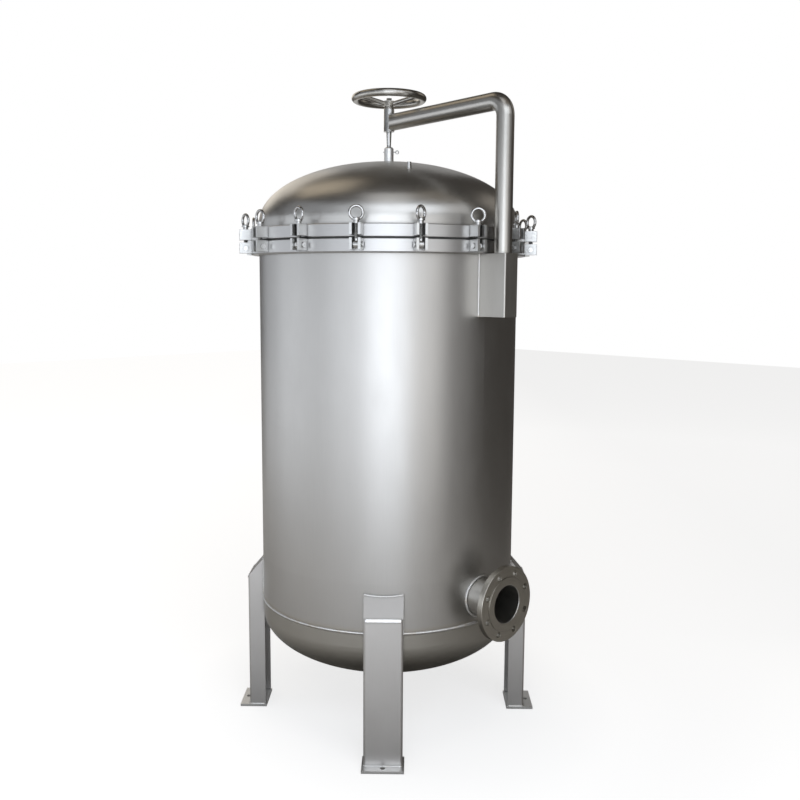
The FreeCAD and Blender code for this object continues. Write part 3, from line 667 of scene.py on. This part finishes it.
def weld(name, body, runs, bands=(), finish="weld_steel"):
    """One piece of weld metal made of beads, (path, radius, closed), and ground bands."""
    mesh = bmesh.new()
    for path, radius, closed in runs:
        lay_bead(mesh, path, radius, closed)
    for band in bands:
        lay_ground_band(mesh, *band)
    bmesh.ops.recalc_face_normals(mesh, faces=mesh.faces)
    data = bpy.data.meshes.new(name)
    mesh.to_mesh(data)
    mesh.free()
    data.shade_smooth()
    data.materials.append(MATERIALS[finish])
    piece = bpy.data.objects.new(name, data)
    bpy.context.scene.collection.objects.link(piece)
    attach(piece, body)
    return piece


SEAM_SUNK = 0.0015


def weld_vessel():
    """The seam under the shell, and the beads that hold the two flange rings."""
    seam = circle(Vector((0, 0, SEAM)), VESSEL - SEAM_SUNK, "Z", ROUND_VESSEL)
    weld("weld_seam", "housing", [(seam, BEADS["seam"], True)])
    under = circle(Vector((0, 0, bottom("body_flange_ring"))), VESSEL, "Z", ROUND_VESSEL)
    runs = [(under, BEADS["body_ring"], True)]
    # Painted shade: this bead takes the darker stub steel, with its painted crevice shade, so that it
    # shows as the shadow line under the body ring.
    weld("weld_body_ring", "housing", runs, finish="stub_steel")
    over = circle(Vector((0, 0, top("lid_flange_ring"))), VESSEL, "Z", ROUND_VESSEL)
    weld("weld_lid_ring", "lid", [(over, BEADS["lid_ring"], True)])


# How far each nozzle bead's centre line stands off the pipe's outside.
SADDLE_OUT = 0.0026
SADDLE_CLEAR = 0.001
BACK_OUT = 0.0014
INSIDE_IN = 0.0004


def weld_nozzle(name, azimuth):
    """Beads where a nozzle meets the shell and its flange, behind and inside."""
    saddle = []
    for point in circle(Vector((0, 0, NOZZLE_Z)), PIPE + SADDLE_OUT, "X"):
        saddle.append(on_shell(point.y, point.z, SADDLE_CLEAR))
    back = circle(Vector((NOZZLE_BACK, 0, NOZZLE_Z)), PIPE + BACK_OUT, "X")
    pipe_end = radius_of("nozzle_pipes")
    inside = circle(Vector((pipe_end, 0, NOZZLE_Z)), PIPE - INSIDE_IN, "X")
    joints = {"nozzle_saddle": saddle, "flange_back": back, "flange_inside": inside}
    runs = [(turned(path, azimuth), BEADS[joint], True) for joint, path in joints.items()]
    weld(name, "housing", runs)


LEG_FOLD = 0.004


def leg_line(y):
    """Where a leg's slanted top meets the shell."""
    spot = on_shell(y, 0.0)
    return Vector((spot.x, y, LEG_SHOULDER + (LEG_OUTER - spot.x) * LEG_SLOPE))


def weld_legs():
    """The slanted top and both sides against the shell, the shoulder, and the foot."""
    plate = top("foot_plates")
    inner = min(point.x for point in LEG_POINTS)
    across = [leg_line(y) for y in steps(-LEG_HALF, LEG_HALF, 24)]
    tilt = math.atan2(1, LEG_SLOPE)
    bend = Vector((math.cos(tilt / 2), 0, math.sin(tilt / 2)))
    hub = Vector((LEG_OUTER, 0, LEG_SHOULDER)) - bend * (BAND_RADIUS - BAND_RISE)
    corner = [
        Vector((inner + LEG_FOLD, LEG_HALF, plate)),
        Vector((LEG_OUTER - LEG_FOLD, LEG_HALF, plate)),
        Vector((LEG_OUTER, LEG_HALF - LEG_FOLD, plate)),
    ]
    foot = corner + [Vector((point.x, -point.y, point.z)) for point in reversed(corner)]
    runs = [(across, BEADS["leg_top"], False), (foot, BEADS["leg_foot"], False)]
    for side in (-1, 1):
        edge = [on_shell(side * LEG_HALF, z) for z in (SEAM, leg_line(LEG_HALF).z)]
        runs.append((edge, BEADS["leg_side"], False))
    for number, azimuth in enumerate(LEG_AZIMUTHS, start=1):
        laid = [(turned(path, azimuth), radius, closed) for path, radius, closed in runs]
        band = (hub, 0.0, tilt, LEG_HALF - LEG_FOLD, azimuth)
        weld(f"weld_leg_{number}", "housing", laid, [band])


WEDGE = math.radians(45)


def weld_davit():
    """The bracket against the shell, and the arm's end against its sleeve."""
    low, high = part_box("davit_bracket")
    half = high.y
    across = [on_shell(y, low.z) for y in steps(-half, half, 16)]
    sides = [[on_shell(side * half, z) for z in (low.z, high.z)] for side in (-1, 1)]
    runs = [(across, BEADS["bracket_under"], False)]
    runs += [(side, BEADS["bracket_side"], False) for side in sides]
    weld("weld_bracket", "housing", runs)
    sleeve = radius_of("davit_sleeve")
    near = [point.z for point in points_of("davit_pipe") if point.x < 2 * sleeve]
    arm_z = (max(near) + min(near)) / 2
    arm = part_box("davit_pipe")[1].y
    joint = []
    for turn in steps(-WEDGE, WEDGE, 16):
        y = sleeve * math.sin(turn)
        joint.append(Vector((sleeve * math.cos(turn), y, arm_z + math.sqrt(arm * arm - y * y))))
    below = [Vector((point.x, point.y, 2 * arm_z - point.z)) for point in reversed(joint)]
    weld("weld_arm", "housing", [(joint + below, BEADS["sleeve"], True)])


PAST_STUB = 0.0015


def weld_round(name, centre, radius, size):
    """A bead round an upright stub where it meets the lid's dome."""
    path = []
    for point in circle(centre, radius, "Z", ROUND_STUB):
        outward = (point - centre).normalized() * PAST_STUB
        height = height_of("lid_dome", point.x + outward.x, point.y + outward.y)
        path.append(Vector((point.x, point.y, height)))
    weld(name, "lid", [(path, size, True)])


DRAIN_SUNK = 0.0005


def weld_stubs():
    """The beads round the lid's boss, the vent's stub and the drain's."""
    socket = radius_of("lid_socket")
    weld_round("weld_socket", Vector((0, 0, 0)), socket, BEADS["socket"])
    low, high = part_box("vent_socket")
    spot = (low + high) / 2
    centre = Vector((spot.x, spot.y, 0))
    vent = (high.x - low.x) / 2
    weld_round("weld_vent", centre, vent, BEADS["vent"])
    drain = radius_of("drain_socket")
    under = circle(Vector((0, 0, bottom("bottom_head") + DRAIN_SUNK)), drain, "Z", ROUND_DRAIN)
    weld("weld_drain", "housing", [(under, BEADS["drain"], True)])


# --------------------------------------------------------------------------- stage

# The photo's camera, as a fit to rings, seams and outlines measured on the photo gave it.
# The reach and height are in metres and the lens is in millimetres.
CAMERA_REACH = 2.937
CAMERA_HEIGHT = 1.3657
CAMERA_AZIMUTH = math.radians(46.4)
CAMERA_YAW = math.radians(0.751)
CAMERA_DIP = math.radians(7.033)
CAMERA_ROLL = math.radians(0.307)
CAMERA_LENS = 41.69


def make_camera():
    """The camera stands level with the upper shell, between the outlet and the front leg."""
    data = bpy.data.cameras.new("camera")
    data.lens = CAMERA_LENS
    data.clip_end = 60
    camera = bpy.data.objects.new("camera", data)
    bpy.context.scene.collection.objects.link(camera)
    heading = CAMERA_AZIMUTH - CAMERA_YAW
    level = Vector((-math.sin(heading), math.cos(heading), 0))
    ahead = level * math.cos(CAMERA_DIP) - Vector((0, 0, math.sin(CAMERA_DIP)))
    side = ahead.cross(Vector((0, 0, 1))).normalized()
    above = side.cross(ahead)
    right = side * math.cos(CAMERA_ROLL) + above * math.sin(CAMERA_ROLL)
    up = right.cross(ahead)
    turn = Matrix((right, up, -ahead)).transposed().to_4x4()
    spot = Vector(
        (
            CAMERA_REACH * math.sin(CAMERA_AZIMUTH),
            -CAMERA_REACH * math.cos(CAMERA_AZIMUTH),
            CAMERA_HEIGHT,
        )
    )
    camera.matrix_world = Matrix.Translation(spot) @ turn
    bpy.context.scene.camera = camera


# Soft boxes stand in four rings round the object. Each ring has its reach and height in
# metres and the size of its boxes, and each box its bearing in degrees, positive to the
# camera's right, with its watts and tone. The watts, the tones and WORLD_LIT started as a
# least-squares fit to the photo, then rounded. The boxes at 180 and at -150, and the top
# one at -120, were changed or added afterwards.
WHITE = (1.0, 1.0, 1.0)
COOL = (0.88, 0.93, 1.0)
WARM = (1.0, 0.86, 0.66)
CREAM = (1.0, 0.93, 0.83)
RINGS = {
    "low": (4.2, 1.1, (2.3, 2.2)),
    "middle": (4.2, 2.6, (2.3, 1.4)),
    "high": (4.2, 3.6, (2.3, 2.2)),
    "top": (2.6, 5.6, (2.4, 2.4)),
}
SOFT_BOXES = {
    "low": {
        -120: (9, COOL),
        -90: (16, COOL),
        -60: (14, COOL),
        -30: (20, COOL),
        0: (40, COOL),
        30: (17, WHITE),
        60: (3, WHITE),
        180: (7, WHITE),
    },
    "middle": {-150: (4, CREAM)},
    "high": {
        -150: (14, CREAM),
        -90: (4, COOL),
        -60: (5, COOL),
        -30: (10, COOL),
        0: (30, COOL),
        30: (27, COOL),
        60: (9, WHITE),
        120: (5, CREAM),
        180: (7, WHITE),
    },
    "top": {-120: (11, WARM), 0: (13, WHITE), 60: (3, WARM)},
}


def make_soft_box(ring, bearing, power, tone):
    """A soft rectangular light that faces the middle of the object."""
    reach, height, size = RINGS[ring]
    name = f"{ring}_{bearing}"
    data = bpy.data.lights.new(name, "AREA")
    data.shape = "RECTANGLE"
    data.size, data.size_y = size
    data.energy = power
    data.color = tone
    light = bpy.data.objects.new(name, data)
    bpy.context.scene.collection.objects.link(light)
    heading = CAMERA_AZIMUTH + math.radians(bearing)
    place = Vector((reach * math.sin(heading), -reach * math.cos(heading), height))
    aim = Vector((0, 0, (CAD_BOX[0].z + CAD_BOX[1].z) / 2)) - place
    light.matrix_world = Matrix.Translation(place) @ aim.to_track_quat("-Z", "Y").to_matrix().to_4x4()
    light.visible_camera = False


def make_lights():
    for ring, boxes in SOFT_BOXES.items():
        for bearing, (power, tone) in boxes.items():
            make_soft_box(ring, bearing, power, tone)


WORLD_SEEN = (1.0, 1.0, 1.0, 1)
WORLD_LIT = (0.046, 0.041, 0.036, 1)


def make_world():
    """White behind the object, and a dimmer grey that lights it and shows in the steel."""
    world = bpy.data.worlds.new("studio")
    bpy.context.scene.world = world
    world.use_nodes = True
    tree = world.node_tree
    background = tree.nodes["Background"]
    ray = tree.nodes.new("ShaderNodeLightPath")
    mix = tree.nodes.new("ShaderNodeMix")
    mix.data_type = "RGBA"
    mix.inputs[6].default_value = WORLD_LIT
    mix.inputs[7].default_value = WORLD_SEEN
    tree.links.new(ray.outputs["Is Camera Ray"], mix.inputs["Factor"])
    tree.links.new(mix.outputs[2], background.inputs["Color"])


FLOOR_REACH = 14.0
FLOOR_GAP = 0.0002
FLOOR_SEEN = colour(0.80, 0.80, 0.80)
FLOOR_BRIGHT = colour(0.86, 0.845, 0.82)
FLOOR_DIM = colour(0.52, 0.50, 0.47)
FLOOR_SHADE = colour(0.24, 0.225, 0.20)


def make_floor(name, tone):
    """A flat floor under the feet, and the nodes of its paint."""
    level = CAD_BOX[0].z - FLOOR_GAP
    bpy.ops.mesh.primitive_plane_add(size=2 * FLOOR_REACH, location=(0, 0, level))
    floor = bpy.context.object
    floor.name = name
    nodes = Nodes(name)
    nodes.shader.inputs["Base Color"].default_value = tone
    nodes.set(Roughness=0.9, Emission_Color=tone)
    floor.data.materials.append(nodes.material)
    return floor, nodes


# The seen floor's own light, from near the vessel to far off.
GLOW_REACH = (1.0, 6.0)
GLOW_STRENGTH = (0.86, 1.03)

# The mirrored floor's paint stands in for the studio's light: it is paler to the camera's left,
# glows brighter in a ring in front of the vessel, and has a painted shadow under it. Reaches are in
# metres.
LIT_EDGE = (0.6, 2.0)
SIDE_REACH = (-2.0, 2.0)
SIDE_STRENGTH = (0.32, 0.05)
SHADE_EDGE = (0.30, 0.75)
SHADE_STRENGTH = 0.15
FRONT_EDGE = (-0.6, 0.7)
APRON_RADIUS = 1.8
APRON_HALF_WIDTH = 0.9
APRON_STRENGTH = 0.26


def make_stage():
    """A pale floor, and another in its place that only the steel's reflections see."""
    seen, paper = make_floor("floor", FLOOR_SEEN)
    x, y = paper.split(paper.place())[:2]
    glow = paper.remap(paper.reach(x, y), *GLOW_REACH, *GLOW_STRENGTH)
    paper.feed(paper.shader.inputs["Emission Strength"], glow)
    seen.visible_glossy = False
    seen.visible_diffuse = False
    mirrored, paint = make_floor("floor_mirrored", FLOOR_DIM)
    x, y = paint.split(paint.place())[:2]
    across = paint.math("MULTIPLY", x, math.cos(CAMERA_AZIMUTH))
    across = paint.math("MULTIPLY_ADD", y, math.sin(CAMERA_AZIMUTH), across)
    lit = paint.remap(across, *LIT_EDGE, 1.0, 0.0)
    away = paint.reach(x, y)
    # Painted shadow under the vessel, in both the floor's colour and its glow.
    under = paint.remap(away, *SHADE_EDGE, 1.0, 0.0)
    spread = paint.mix(lit, FLOOR_DIM, FLOOR_BRIGHT)
    paint.feed(paint.shader.inputs["Base Color"], paint.mix(under, spread, FLOOR_SHADE))
    side = paint.remap(across, *SIDE_REACH, *SIDE_STRENGTH)
    toward = paint.math("MULTIPLY", x, math.sin(CAMERA_AZIMUTH))
    toward = paint.math("MULTIPLY_ADD", y, -math.cos(CAMERA_AZIMUTH), toward)
    in_front = paint.remap(toward, *FRONT_EDGE, 0.0, 1.0)
    apron = paint.math("MULTIPLY", paint.line(away, APRON_RADIUS, APRON_HALF_WIDTH), in_front)
    glow = paint.math("MULTIPLY_ADD", apron, APRON_STRENGTH, side)
    glow = paint.math("MULTIPLY_ADD", under, -SHADE_STRENGTH, glow)
    paint.feed(paint.shader.inputs["Emission Strength"], paint.math("MAXIMUM", glow, 0.0))
    mirrored.visible_camera = False
    mirrored.visible_shadow = False


MATERIALS = {name: build(name) for name, build in FINISHES.items()}
finish_nodes()
weld_vessel()
weld_nozzle("weld_outlet", 0.0)
weld_nozzle("weld_inlet", math.pi)
weld_legs()
weld_davit()
weld_stubs()
make_camera()
make_lights()
make_world()
make_stage()
bpy.context.scene.view_settings.view_transform = "Standard"
